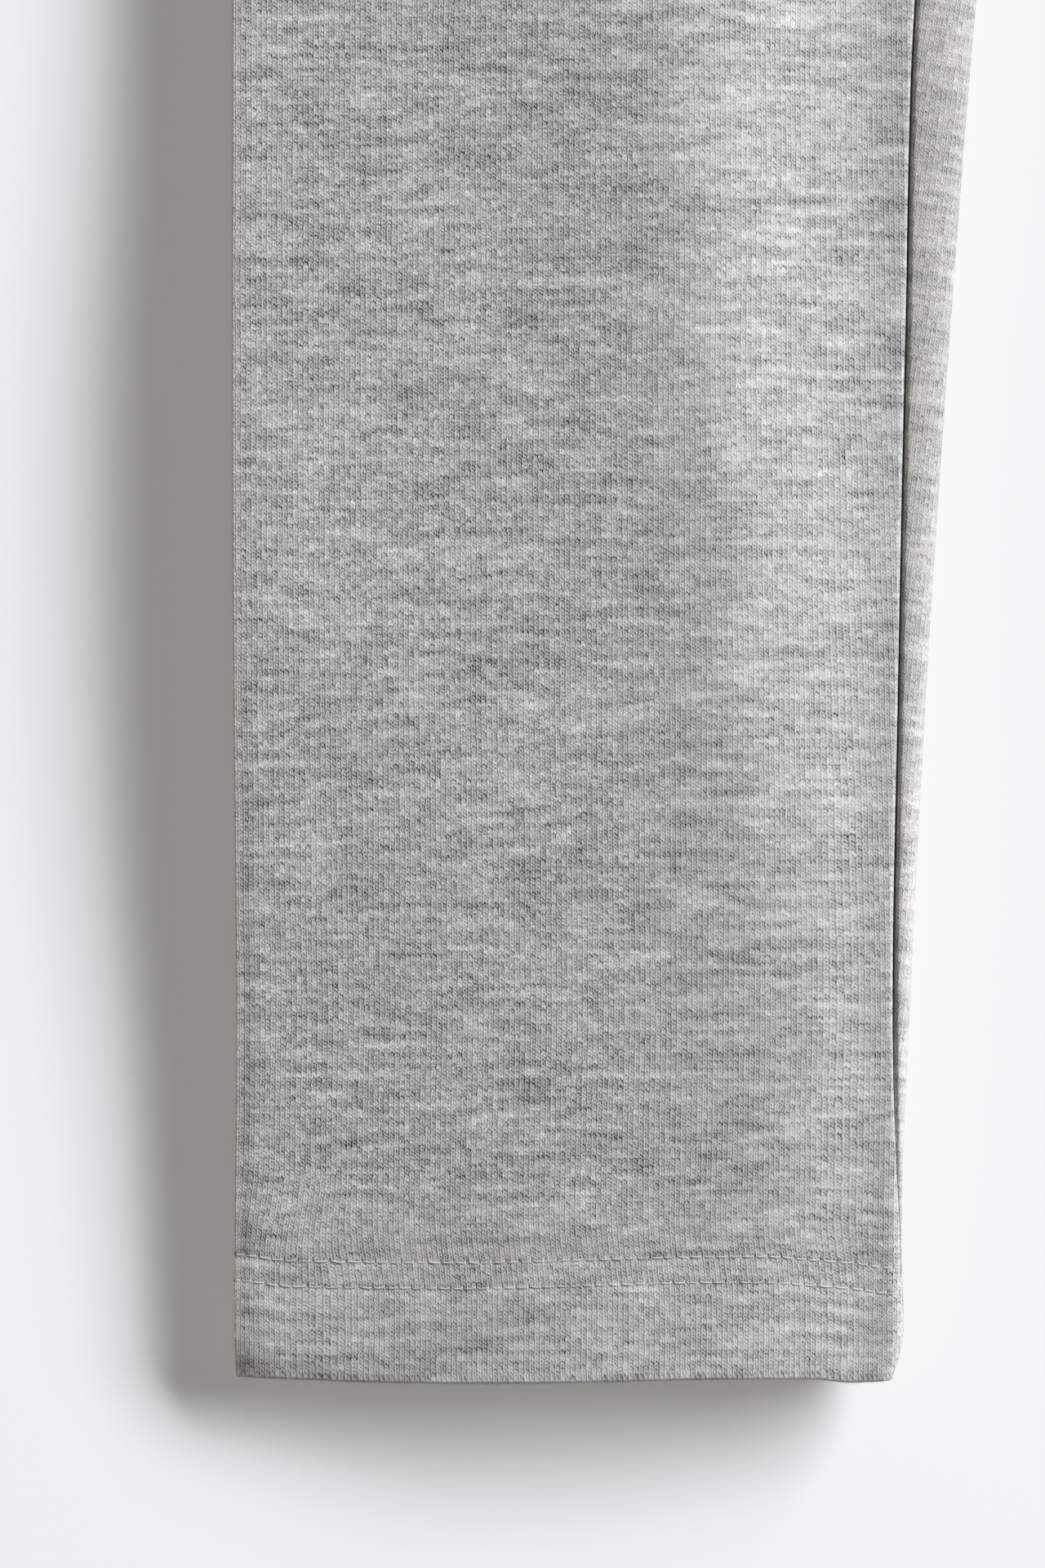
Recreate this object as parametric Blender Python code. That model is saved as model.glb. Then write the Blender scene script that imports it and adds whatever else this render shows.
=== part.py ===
"""A pair of light grey marl jersey leggings, laid flat: two one-piece legs and a cased waistband.

The garment lies on the plane z = 0 with its hems towards -Y and its waist towards +Y. The wearer's
right leg is on the -X side. The tables are in millimetres and the meshes in metres. In them, "up" is
the distance above the hems, "across" the distance from the centre line and "z" the height above the
surface. Each leg is one piece of cloth, folded at its outer edge and sewn to itself at the inner leg.
"""

import math
from collections import namedtuple

import bpy

MM = 0.001

# Cloth
WALL = 1.1  # thickness of the jersey
SEAM_GAP = 0.3  # between the edges that a seam joins
SEAM_LIP = 0.8  # strip beside a seam that dips into it
SEAM_DIP = 0.4  # how far that strip dips
SEAM_DIP_AFTER = 30.0  # length above the hem over which the dip begins

# Lengths up the leg
CROTCH = 680.0
WAIST_SEAM = 880.0  # at the outer edges, where the waistband is sewn on
BAND_HEIGHT = 36.0
FRONT_DROP = 6.0  # the waist is this much lower at the centre front
BACK_RISE = 12.0  # and this much higher at the centre back
LENGTH = WAIST_SEAM + BAND_HEIGHT + BACK_RISE
UP_TO_Y = -LENGTH / 2.0  # puts the middle of the length at y = 0

# Hem, turned up inside and stitched down
HEM_DEPTH = 19.0
HEM_GAP = 0.5  # between the turned-up layer and the leg
HEM_LAYERS = 2.0 * WALL + HEM_GAP
HEM_TURN_STEPS = 4

# The folded outer edge: a tight shoulder above, a wide curve below
FOLD_SHOULDER = 1.0
FOLD_SHOULDER_DROP = 1.2
FOLD_UNDER = 6.5
LEAST_RADIUS = 0.5  # of an inner layer's corner

# The inner edge, where the back of the leg rolls up to the seam
ROLL_LEAST = 3.0
ROLL_UNDER = 3.4
ROLL_SHRINK = 0.9  # how much narrower the roll is, for each millimetre that a layer lies inside
ROLL_SQUARE = 3.0  # how flat its top is: 2 would be an ellipse
RISE_SHARE = 0.5  # share of the width over which the front rises from the fold to its crest

# Above the crotch the sheet is open, with its two edges on the centre line
OPEN_STRIP = 6.0  # width of the columns kept beside the centre line
OPEN_AFTER = 20.0  # length over which the closed leg opens

Section = namedtuple("Section", "up outer inner fold crest seam strip ridge")
# outer, inner: the two sides of the leg, across. fold, crest, seam: z of the front at its folded
# edge, on its soft ridge and at its seam. strip: width of the rolled-over back that shows beside
# the seam. ridge: where the front starts to fall to the seam, as a share of its width.
LEG = (
    Section(0, 170.0, 65.2, 8.3, 11.2, 8.6, 0.5, 0.68),
    Section(9, 170.0, 63.5, 8.4, 11.1, 8.6, 0.5, 0.68),
    Section(25, 170.0, 63.8, 8.7, 11.0, 8.3, 0.5, 0.68),
    Section(60, 170.0, 62.4, 9.2, 11.1, 7.5, 2.9, 0.69),
    Section(110, 170.0, 59.7, 10.7, 11.4, 6.6, 4.6, 0.70),
    Section(165, 170.0, 55.9, 11.2, 11.8, 5.6, 7.1, 0.66),
    Section(220, 170.2, 51.6, 10.6, 12.3, 5.6, 9.9, 0.58),
    Section(300, 171.4, 43.2, 10.4, 13.0, 6.4, 11.5, 0.57),
    Section(380, 174.5, 33.0, 10.5, 14.2, 6.8, 12.5, 0.56),
    Section(500, 184.5, 17.5, 10.8, 14.5, 6.9, 10.5, 0.56),
    Section(600, 196.5, 6.2, 11.0, 14.6, 6.5, 5.5, 0.58),
    Section(660, 203.0, 1.3, 11.2, 14.7, 5.8, 1.4, 0.60),
    Section(CROTCH, 204.6, SEAM_GAP / 2, 11.3, 14.8, 5.4, 0.5, 0.60),
    Section(720, 205.0, SEAM_GAP / 2, 11.4, 15.0, 8.6, 0.5, 0.60),
    Section(780, 198.0, SEAM_GAP / 2, 11.4, 15.2, 12.4, 0.5, 0.60),
    Section(830, 183.5, SEAM_GAP / 2, 11.2, 14.8, 13.6, 0.5, 0.60),
    Section(WAIST_SEAM, 161.0, SEAM_GAP / 2, 11.0, 14.2, 13.4, 0.5, 0.60),
)
ROWS_UP = (
    5, 14, 25, 42, 65, 95, 130, 170, 215, 265, 320, 380, 440, 500, 560, 610, 650, 670,
    CROTCH, 688, 698, 712, 732, 760, 795, 825, 850, 868, WAIST_SEAM,
)  # fmt: skip
HEM_ROWS_UP = (HEM_DEPTH, 10)

Fold = namedtuple("Fold", "up_0 across_0 up_1 across_1 width height")
# A soft ridge, or a trough where its height is negative, along a line on the front of a leg
RIGHT_FOLDS = (
    Fold(684, 14, 738, 118, 13, 1.9),
    Fold(676, 20, 640, 128, 14, 1.6),
    Fold(694, 16, 690, 96, 10, -1.7),
    Fold(610, 52, 520, 96, 16, 1.2),
    Fold(470, 60, 452, 150, 14, 1.3),
    Fold(430, 66, 408, 158, 12, -1.2),
    Fold(392, 58, 372, 140, 12, 1.0),
    Fold(840, 96, 770, 120, 12, 1.2),
)
LEFT_FOLDS = (
    Fold(686, 12, 726, 104, 14, 1.7),
    Fold(672, 22, 622, 120, 13, 1.8),
    Fold(698, 18, 704, 88, 11, -1.5),
    Fold(590, 44, 508, 84, 15, 1.3),
    Fold(462, 56, 436, 144, 15, 1.2),
    Fold(418, 70, 402, 160, 11, -1.2),
    Fold(376, 52, 348, 128, 12, 1.1),
    Fold(846, 70, 786, 92, 12, 1.0),
)
FOLD_EDGE = 0.12  # share of the width, beside the folded edge and the seam, that folds stay off
FOLD_FADE = 0.4  # share of a fold's length over which it fades, half of it past its end

# Steps round the leg, from the seam over the front, under the back and up to the seam again
LIP_STEPS = 1
BESIDE_SEAM_STEPS = 3
BESIDE_SEAM = 8.0
FRONT_STEPS = 15
SHOULDER_STEPS = 3
UNDER_STEPS = 3
BACK_STEPS = 5
ROLL_STEPS = 3

# Waistband: one strip, folded over its elastic, with the soft gathers that the elastic draws in
BAND_WALL = 3.0
BAND_TOP_HALF = 157.0  # half its flat width at the top
BAND_GATHERS = 21  # on the front, and as many on the back
STEPS_PER_GATHER = 4
GATHER_HEIGHT = 0.9
BAND_TURN_STEPS = 4

CLOTH_COLOUR = (0.42, 0.42, 0.43, 1.0)
CLOTH_ROUGHNESS = 0.95


def ease(share):
    """0 to 1, level at both ends."""
    share = min(max(share, 0.0), 1.0)
    return share * share * (3.0 - 2.0 * share)


def shares(steps, first=0.0, last=1.0):
    """Evenly spaced values from first to last, without the first one."""
    return [first + (last - first) * (step + 1) / steps for step in range(steps)]


def steepness(row, column):
    """Slope of a column of the table at one of its rows, level at the table's two ends."""
    if row in (0, len(LEG) - 1):
        return 0.0
    before, here, after = LEG[row - 1 : row + 2]
    left = (here[column] - before[column]) / (here.up - before.up)
    right = (after[column] - here[column]) / (after.up - here.up)
    # The harmonic mean never overshoots, so a straight side stays straight.
    return 2.0 * left * right / (left + right) if left * right > 0.0 else 0.0


def section(up):
    """The leg's sizes at a height, on smooth curves through the rows of the table."""
    up = min(max(up, LEG[0].up), LEG[-1].up)
    place = max(i for i in range(len(LEG) - 1) if LEG[i].up <= up)
    low, high = LEG[place], LEG[place + 1]
    span = high.up - low.up
    share = (up - low.up) / span
    values = []
    for column in range(1, len(low)):
        ends = low[column] + (high[column] - low[column]) * ease(share)
        bend_low = steepness(place, column) * share * (1.0 - share) ** 2
        bend_high = steepness(place + 1, column) * share**2 * (1.0 - share)
        values.append(ends + span * (bend_low - bend_high))
    return Section(up, *values)


def fold_height(folds, up, across):
    """How far the folds lift the front at a place."""
    lift = 0.0
    for fold in folds:
        run = (fold.up_1 - fold.up_0, fold.across_1 - fold.across_0)
        length = math.hypot(*run)
        along = ((up - fold.up_0) * run[0] + (across - fold.across_0) * run[1]) / length
        aside = ((up - fold.up_0) * run[1] - (across - fold.across_0) * run[0]) / length
        fade = FOLD_FADE * length
        tapered = ease(0.5 + along / fade) * ease(0.5 + (length - along) / fade)
        lift += fold.height * tapered * math.exp(-((aside / fold.width) ** 2))
    return lift


def roll_sizes(size, depth):
    """Width and half height of the rolled inner edge, for a layer that lies depth inside the face."""
    roll = max(size.strip, ROLL_LEAST)
    return roll - ROLL_SHRINK * depth, 0.5 * size.seam - depth


def roll_height(share):
    """Height over the roll's middle at a share of the way out from its top, as a share of its own."""
    return (1.0 - share**ROLL_SQUARE) ** (1.0 / ROLL_SQUARE)


def shoulder_sizes(depth):
    """Width and height of the folded edge's shoulder, for a layer that lies depth inside the face."""
    return max(FOLD_SHOULDER - depth, LEAST_RADIUS), max(FOLD_SHOULDER_DROP - depth, LEAST_RADIUS)


def front_z(size, across, folds, depth=0.0):
    """Height of the front between its folded edge and its seam."""
    wide, tall = roll_sizes(size, depth)
    left = size.outer - depth - shoulder_sizes(depth)[0]
    right = size.inner + depth + wide
    share = min(max((left - across) / (left - right), 0.0), 1.0)
    z = size.fold + (size.crest - size.fold) * ease(share / RISE_SHARE) - depth
    z -= (size.crest - size.seam) * ease((share - size.ridge) / (1.0 - size.ridge))
    inside = ease(share / FOLD_EDGE) * ease((1.0 - share) / FOLD_EDGE)
    z += inside * fold_height(folds, size.up, across)
    past_roll = min(max((right - across) / wide, 0.0), 1.0)
    return z - tall * (1.0 - roll_height(past_roll))


def outer_edge(size, depth):
    """(across, z) down round the folded outer edge, for a layer that lies depth inside the face."""
    wide, tall = shoulder_sizes(depth)
    side = size.outer - depth
    middle = size.fold - depth - tall
    under = FOLD_UNDER - depth
    points = []
    for turn in shares(SHOULDER_STEPS, 0.0, math.pi / 2):
        points.append((side - wide + wide * math.sin(turn), middle + tall * math.cos(turn)))
    for turn in shares(UNDER_STEPS, 0.0, math.pi / 2):
        across = side - under + under * math.cos(turn)
        points.append((across, middle - (middle - depth) * math.sin(turn)))
    return points


def closed_ring(size, depth, folds):
    """(across, z) round the leg below the crotch, from the front's edge at the seam to the back's."""
    wide, tall = roll_sizes(size, depth)
    inner = size.inner + depth
    middle = 0.5 * size.seam
    dip = SEAM_DIP * ease((size.up - HEM_DEPTH) / SEAM_DIP_AFTER)
    # Turns round the roll are measured from the leg's inner side, up to the top of the front.
    turn_seam = math.acos(1.0 - size.strip / max(size.strip, ROLL_LEAST))
    radius = math.hypot(wide * math.sin(turn_seam), tall * math.cos(turn_seam))
    turn_back = turn_seam - 0.5 * SEAM_GAP / radius
    turn_lip = turn_back - min(SEAM_LIP / radius, 0.5 * turn_back)
    facing = (math.cos(turn_seam), math.sin(turn_seam))

    def on_roll(turn):
        return inner + wide * (1.0 - math.cos(turn)), middle + tall * roll_height(math.cos(turn))

    edge = on_roll(turn_seam)[0] + 0.5 * SEAM_GAP * facing[1]
    lip = edge + SEAM_LIP * facing[1]
    ring = [(edge + dip * facing[0], front_z(size, edge, folds, depth) - dip * facing[1])]
    columns = [lip] + shares(BESIDE_SEAM_STEPS, lip, edge + BESIDE_SEAM)
    fold = size.outer - depth - shoulder_sizes(depth)[0]
    columns += shares(FRONT_STEPS, edge + BESIDE_SEAM, fold)
    ring += [(across, front_z(size, across, folds, depth)) for across in columns]
    ring += outer_edge(size, depth)
    under = ROLL_UNDER - ROLL_SHRINK * depth
    ring += [(across, depth) for across in shares(BACK_STEPS, ring[-1][0], inner + under)]
    for turn in shares(ROLL_STEPS, math.pi / 2, 0.0):
        ring.append((inner + under * (1.0 - math.cos(turn)), middle - tall * math.sin(turn)))
    ring += [on_roll(turn) for turn in shares(ROLL_STEPS, 0.0, turn_lip)]
    across, z = on_roll(turn_back)
    ring.append((across + dip * facing[0], z - dip * facing[1]))
    return ring


def open_ring(size, depth, folds):
    """(across, z) above the crotch, from the centre front over the outer edge to the centre back."""
    centre = size.inner
    ring = [(centre, size.seam - SEAM_DIP - depth)]
    columns = [centre + SEAM_LIP] + shares(BESIDE_SEAM_STEPS, centre + SEAM_LIP, centre + BESIDE_SEAM)
    fold = size.outer - depth - shoulder_sizes(depth)[0]
    columns += shares(FRONT_STEPS, centre + BESIDE_SEAM, fold)
    beside_roll = centre + depth + roll_sizes(size, depth)[0]
    ring += [(across, front_z(size, max(across, beside_roll), folds, depth)) for across in columns]
    ring += outer_edge(size, depth)
    back = shares(BACK_STEPS, ring[-1][0], centre + OPEN_STRIP)
    back += shares(2 * ROLL_STEPS, centre + OPEN_STRIP, centre + SEAM_LIP) + [centre]
    return ring + [(across, depth) for across in back]


def waist_lift(size_outer, up, across, on_front):
    """How far the waist's curve moves a point along the leg: down at the centre front, up at the back."""
    amount = -FRONT_DROP if on_front else BACK_RISE
    centred = math.cos(0.5 * math.pi * min(across / size_outer, 1.0)) ** 2
    return amount * centred * ease((up - CROTCH) / (WAIST_SEAM - CROTCH))


def leg_row(up, depth, side, folds):
    """One row of a leg's points, in metres, for a layer that lies depth inside the leg's face."""
    size = section(up)
    ring = closed_ring(size, depth, folds)
    if up > CROTCH:
        # The closed ring opens onto the centre line over a short way.
        opened = ease((up - CROTCH) / OPEN_AFTER)
        wide = open_ring(size, depth, folds)
        ring = [(a + (c - a) * opened, b + (d - b) * opened) for (a, b), (c, d) in zip(ring, wide)]
    fold_point = LIP_STEPS + BESIDE_SEAM_STEPS + FRONT_STEPS + SHOULDER_STEPS
    row = []
    for place, (across, z) in enumerate(ring):
        y = up + UP_TO_Y + waist_lift(size.outer, up, across, place <= fold_point)
        row.append((side * across * MM, y * MM, z * MM))
    return row


def quads(rows, width, first=0, closed=False):
    """Quads over a grid of points, numbered from first. A closed grid joins its ends both ways."""
    spans = (rows, width) if closed else (rows - 1, width - 1)
    for i in range(spans[0]):
        for j in range(spans[1]):
            ahead, beside = (i + 1) % rows, (j + 1) % width
            corners = ((i, j), (i, beside), (ahead, beside), (ahead, j))
            yield tuple(first + row * width + column for row, column in corners)


def new_object(name, points, faces, turned_out):
    """A smooth-shaded object. Its faces are turned round if they don't face out yet."""
    mesh = bpy.data.meshes.new(name)
    mesh.from_pydata(points, [], faces if turned_out else [face[::-1] for face in faces])
    mesh.validate()
    mesh.shade_smooth()
    return bpy.data.objects.new(name, mesh)


def cloth_wall(name, face_rows, lining_rows, turned_out):
    """A sheet of cloth: a loft of its face, one of its inside, and the four edges between them."""
    rows, width = len(face_rows), len(face_rows[0])
    inside = rows * width
    faces = list(quads(rows, width))
    faces += [face[::-1] for face in quads(rows, width, first=inside)]
    foot_to_top = [i * width for i in range(rows)]
    edges = (
        list(range(width))[::-1],
        list(range(inside - width, inside)),
        foot_to_top,
        [start + width - 1 for start in foot_to_top][::-1],
    )
    for edge in edges:
        faces += [(a, b, b + inside, a + inside) for a, b in zip(edge, edge[1:])]
    points = [point for row in face_rows + lining_rows for point in row]
    return new_object(name, points, faces, turned_out)


def leg(name, side, folds):
    """One leg: the turned-up hem, the turn at its foot and the leg itself, as one sheet of cloth."""
    turn_radius = 0.5 * HEM_LAYERS
    face, lining = [], []
    for up in HEM_ROWS_UP:
        face.append((up, HEM_LAYERS))
        lining.append((up, HEM_LAYERS - WALL))
    for turn in [0.0] + shares(HEM_TURN_STEPS, 0.0, math.pi):
        for layer, radius in ((face, turn_radius), (lining, turn_radius - WALL)):
            depth = turn_radius + radius * math.cos(turn)
            layer.append((turn_radius - radius * math.sin(turn), depth))
    for up in ROWS_UP:
        face.append((up, 0.0))
        lining.append((up, WALL))
    face_rows, lining_rows = (
        [leg_row(up, depth, side, folds) for up, depth in layer] for layer in (face, lining)
    )
    return cloth_wall(name, face_rows, lining_rows, turned_out=side > 0)


def band_row(up, depth):
    """One ring of the waistband, in metres, for a layer that lies depth inside its face."""
    size = section(WAIST_SEAM)
    share = (up - WAIST_SEAM) / BAND_HEIGHT
    outer = size.outer + (BAND_TOP_HALF - size.outer) * share - depth
    size = size._replace(outer=outer + depth)
    edge = outer_edge(size, depth)
    flat_half = outer - shoulder_sizes(depth)[0]
    count = BAND_GATHERS * STEPS_PER_GATHER
    ring = []
    for across in [flat_half * (1.0 - 2.0 * step / count) for step in range(count + 1)]:
        share = min(abs(across) / flat_half, 1.0)
        z = size.fold + (size.seam - size.fold) * ease((1.0 - share) / RISE_SHARE) - depth
        wave = 0.5 - 0.5 * math.cos(math.pi * BAND_GATHERS * (1.0 - across / flat_half))
        ring.append((across, z + GATHER_HEIGHT * (wave - 0.5) * ease((1.0 - share) / FOLD_EDGE), True))
    side = [(across, z, place < SHOULDER_STEPS) for place, (across, z) in enumerate(edge)]
    # The same columns as the backs of the legs, so that the curved edges match
    side += [(across, depth, False) for across in shares(BACK_STEPS, edge[-1][0], OPEN_STRIP)]
    ring += [(-across, z, on_front) for across, z, on_front in side]
    ring += side[::-1]
    row = []
    for across, z, on_front in ring:
        y = up + UP_TO_Y + waist_lift(outer, WAIST_SEAM, abs(across), on_front)
        row.append((across * MM, y * MM, z * MM))
    return row


def waistband(name):
    """The band: outer face, rounded top and inner face, as one closed loop of folded cloth."""
    foot = WAIST_SEAM + SEAM_GAP
    radius = 0.5 * BAND_WALL
    shoulder = WAIST_SEAM + BAND_HEIGHT - radius
    rows = [band_row(foot, 0.0)]
    for turn in [0.0] + shares(BAND_TURN_STEPS, 0.0, math.pi):
        rows.append(band_row(shoulder + radius * math.sin(turn), radius * (1.0 - math.cos(turn))))
    rows.append(band_row(foot, BAND_WALL))
    points = [point for row in rows for point in row]
    faces = list(quads(len(rows), len(rows[0]), closed=True))
    return new_object(name, points, faces, turned_out=False)


def cloth_material(name):
    material = bpy.data.materials.new(name)
    material.use_nodes = True
    shader = material.node_tree.nodes["Principled BSDF"]
    shader.inputs["Base Color"].default_value = CLOTH_COLOUR
    shader.inputs["Roughness"].default_value = CLOTH_ROUGHNESS
    shader.inputs["Metallic"].default_value = 0.0
    return material


def main():
    for obj in list(bpy.data.objects):
        bpy.data.objects.remove(obj, do_unlink=True)
    collection = bpy.data.collections.new("leggings")
    bpy.context.scene.collection.children.link(collection)
    pieces = (
        leg("right_leg", -1, RIGHT_FOLDS),
        leg("left_leg", 1, LEFT_FOLDS),
        waistband("waistband"),
    )
    for piece in pieces:
        piece.data.materials.append(cloth_material(piece.name + "_cloth"))
        collection.objects.link(piece)


main()
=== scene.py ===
"""The looks of a pair of light grey marl jersey leggings, laid flat and seen from straight above.

The cloth is three fine shells on the frame's solids: two one-piece legs and a cased waistband. Lengths
are in millimetres, and the meshes in metres. "up" is the distance above the hems, "across" that from the
centre line, "z" the height above the floor and "depth" how far a layer of cloth lies inside its face.
Each point also keeps its place in the flat cloth, where the knit is worked out: "along" the courses from
the folded outer edge, and "height" along the wales.
"""

import math
from collections import namedtuple

import bmesh
import bpy
import numpy as np
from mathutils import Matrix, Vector


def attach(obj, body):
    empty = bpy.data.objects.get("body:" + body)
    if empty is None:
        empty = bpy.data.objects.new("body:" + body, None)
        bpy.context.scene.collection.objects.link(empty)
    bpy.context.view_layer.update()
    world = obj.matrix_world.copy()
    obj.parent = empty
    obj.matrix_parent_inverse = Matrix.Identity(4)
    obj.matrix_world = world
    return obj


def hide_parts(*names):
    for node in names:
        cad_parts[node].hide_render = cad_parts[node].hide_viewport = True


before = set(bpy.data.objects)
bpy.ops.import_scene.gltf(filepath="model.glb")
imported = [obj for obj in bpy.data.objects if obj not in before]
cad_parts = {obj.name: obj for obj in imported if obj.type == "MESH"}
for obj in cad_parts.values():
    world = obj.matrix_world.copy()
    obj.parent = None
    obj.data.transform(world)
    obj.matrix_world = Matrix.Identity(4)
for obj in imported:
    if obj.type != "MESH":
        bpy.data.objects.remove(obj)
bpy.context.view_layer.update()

MM = 0.001

# Cloth
WALL = 1.1  # thickness of the jersey
SEAM_GAP = 0.3  # between the edges that a seam joins
TUCK = 1.9  # how far the edges beside a seam turn in
TUCK_AT_HEM = 0.25
TUCK_AFTER = 42.0  # length above the hem over which the seam grows to its full depth
TUCK_ROUND = 0.75  # radius of those edges
TUCK_TAIL_STEPS = 2
TUCK_ROUND_STEPS = 5
LINING_TUCK = 1.5  # strip of the inside that slants down to the tucked edge

# Lengths up the leg
CROTCH = 680.0
WAIST_SEAM = 880.0
BAND_HEIGHT = 36.0
FRONT_DROP = 6.0
BACK_RISE = 12.0
LENGTH = WAIST_SEAM + BAND_HEIGHT + BACK_RISE
UP_TO_Y = -LENGTH / 2.0
WAIST_HALF = 161.0  # across, from the centre line

# Hem, turned up inside and stitched down with two rows
HEM_DEPTH = 19.0
HEM_GAP = 0.5
HEM_LAYERS = 2.0 * WALL + HEM_GAP
HEM_TURN_STEPS = 16
HEM_TURN_SQUARE = 0.4  # 1 would be a half circle
HEM_FOOT = (1.0 - 0.5 * math.pi) * 0.5 * HEM_LAYERS  # of the hem's lowest line, in the flat cloth
STITCH_ROWS_UP = (15.4, 19.5)
STITCH_PHASES = (0.4, 1.3)  # where each row's stitches start
STITCH_PITCH = 2.09
STITCH_LENGTH = 1.62
STITCH_GROOVE = 0.10  # how deep a row of stitches presses the cloth in
STITCH_GROOVE_WIDTH = 0.9
STITCH_SEED = 41
# How single stitches differ: least and greatest values, or a mean and a spread
STITCH_LONGER = (0.9, 1.06)
STITCH_TILT = (0.02, 0.08)
STITCH_HIGHER = (-0.7, 1.7)
STITCH_STRAY = 0.03
THREAD_THICKER = (0.92, 1.08)
STITCH_AHEAD = 0.3  # length over which a stitch's direction is found
THREAD_WIDE = 0.28
THREAD_TALL = 0.20
THREAD_RISE = 0.035  # of a stitch's middle, above the cloth
THREAD_SIDES = 6

# A stitch from end to end: share of its length, height over the cloth as a share of its rise, distance
# up the leg in millimetres, and thickness as a share of the thread's. The end hooks up.
STITCH_STAGES = (
    (-0.02, -4.0, 0.02, 0.55),
    (0.03, -0.9, 0.0, 0.9),
    (0.16, 0.5, 0.0, 1.0),
    (0.38, 1.0, -0.01, 1.0),
    (0.62, 1.0, -0.01, 1.0),
    (0.84, 0.8, 0.04, 1.0),
    (0.98, 0.1, 0.16, 0.9),
    (1.03, -2.0, 0.30, 0.7),
    (1.04, -4.5, 0.36, 0.5),
)

# The folded outer edge
FOLD_SHOULDER = 0.25
FOLD_SHOULDER_DROP = 0.3
FOLD_UNDER = 6.5
LEAST_RADIUS = 0.25

# At each height up: how far the front falls towards the fold, over what width, and how deep a crease
# runs beside the fold
FOLD_CUSHION = (
    (0, 1.3, 4.0, 0.05),
    (7, 0.35, 3.0, 0.10),
    (28, 0.30, 2.8, 0.22),
    (60, 0.20, 2.6, 0.22),
    (95, 0.15, 2.4, 0.16),
    (125, 0.12, 2.2, 0.03),
    (300, 0.12, 2.4, 0.03),
)
CREASE_PLACE, CREASE_WIDTH = 0.5, 1.3

# The inner edge, where the back of the leg rolls up to the seam
ROLL_LEAST = 3.0
ROLL_UNDER = 3.4
ROLL_SHRINK = 0.9
ROLL_SQUARE = 3.0  # 2 would be an ellipse
RISE_SHARE = 0.62
# Near the hem the inner edge curls up off the floor.
CURL = 3.0
CURL_WIDTH = 20.0
CURL_UP = (12.0, 75.0)  # it has its full height below the first and none above the second

# Above the crotch the sheet is open, with its two edges on the centre line
OPEN_STRIP = 6.0
OPEN_AFTER = 20.0

Section = namedtuple("Section", "up outer inner fold crest seam strip ridge")
# outer, inner: the two sides of the leg, across. fold, crest, seam: z of the front at its folded edge,
# on its soft ridge and at its seam. strip: width of the rolled-over back that shows beside the seam.
# ridge: where the front starts to fall to the seam, as a share of its width.
LEG = (
    (0, 170.5, 65.2, 6.3, 10.9, 9.0, 0.15, 0.76),
    (4, 170.6, 64.2, 6.8, 10.9, 9.0, 0.15, 0.76),
    (9, 170.6, 63.5, 7.2, 10.9, 9.2, 0.15, 0.77),
    (25, 170.5, 63.8, 7.8, 10.9, 9.9, 0.4, 0.80),
    (60, 170.2, 62.4, 8.9, 10.9, 9.7, 2.9, 0.80),
    (110, 170.5, 59.7, 10.7, 11.3, 7.7, 4.6, 0.73),
    (165, 170.7, 55.9, 11.2, 11.7, 6.0, 7.1, 0.68),
    (220, 170.7, 51.6, 10.2, 12.2, 6.1, 9.9, 0.62),
    (300, 171.6, 43.2, 9.8, 12.9, 6.6, 11.5, 0.60),
    (380, 174.5, 33.0, 10.5, 14.2, 6.8, 12.5, 0.56),
    (500, 184.5, 17.5, 10.8, 14.5, 6.9, 10.5, 0.56),
    (600, 196.5, 6.2, 11.0, 14.6, 6.5, 5.5, 0.58),
    (660, 203.0, 1.3, 11.2, 14.7, 5.8, 1.4, 0.60),
    (CROTCH, 204.6, SEAM_GAP / 2, 11.3, 14.8, 5.4, 0.5, 0.60),
    (720, 205.0, SEAM_GAP / 2, 11.4, 15.0, 8.6, 0.5, 0.60),
    (780, 198.0, SEAM_GAP / 2, 11.4, 15.2, 12.4, 0.5, 0.60),
    (830, 183.5, SEAM_GAP / 2, 11.2, 14.8, 13.6, 0.5, 0.60),
    (WAIST_SEAM, WAIST_HALF, SEAM_GAP / 2, 11.0, 14.2, 13.4, 0.5, 0.60),
)
# The rows of points from the hem's turn up: where each stretch ends, and how far apart its rows are
LEG_ROWS = (
    (14.0, 1.0), (21.0, 0.35), (45.0, 1.5), (250.0, 2.7), (640.0, 6.5),
    (720.0, 3.0), (845.0, 5.0), (875.0, 2.0), (878.6, 0.9), (WAIST_SEAM, 0.2),
)
HEM_ROWS_UP = (HEM_DEPTH, 15.0, 11.0, 7.0, 3.0)

# Steps round the leg
BESIDE_SEAM = 8.0
BESIDE_SEAM_STEPS = 10
BESIDE_FOLD = 6.0
BESIDE_FOLD_STEPS = 10
FRONT_STEPS = 64
SHOULDER_STEPS = 8
UNDER_STEPS = 6
BACK_STEPS = 20
ROLL_STEPS = 9
TUCK_COLUMNS = TUCK_TAIL_STEPS + TUCK_ROUND_STEPS + 1
# The columns on the folded edge and on the outermost line of the rolled one
FOLD_COLUMN = TUCK_COLUMNS + BESIDE_SEAM_STEPS + FRONT_STEPS + BESIDE_FOLD_STEPS + SHOULDER_STEPS - 1
ROLL_COLUMN = FOLD_COLUMN + UNDER_STEPS + BACK_STEPS + ROLL_STEPS

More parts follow.
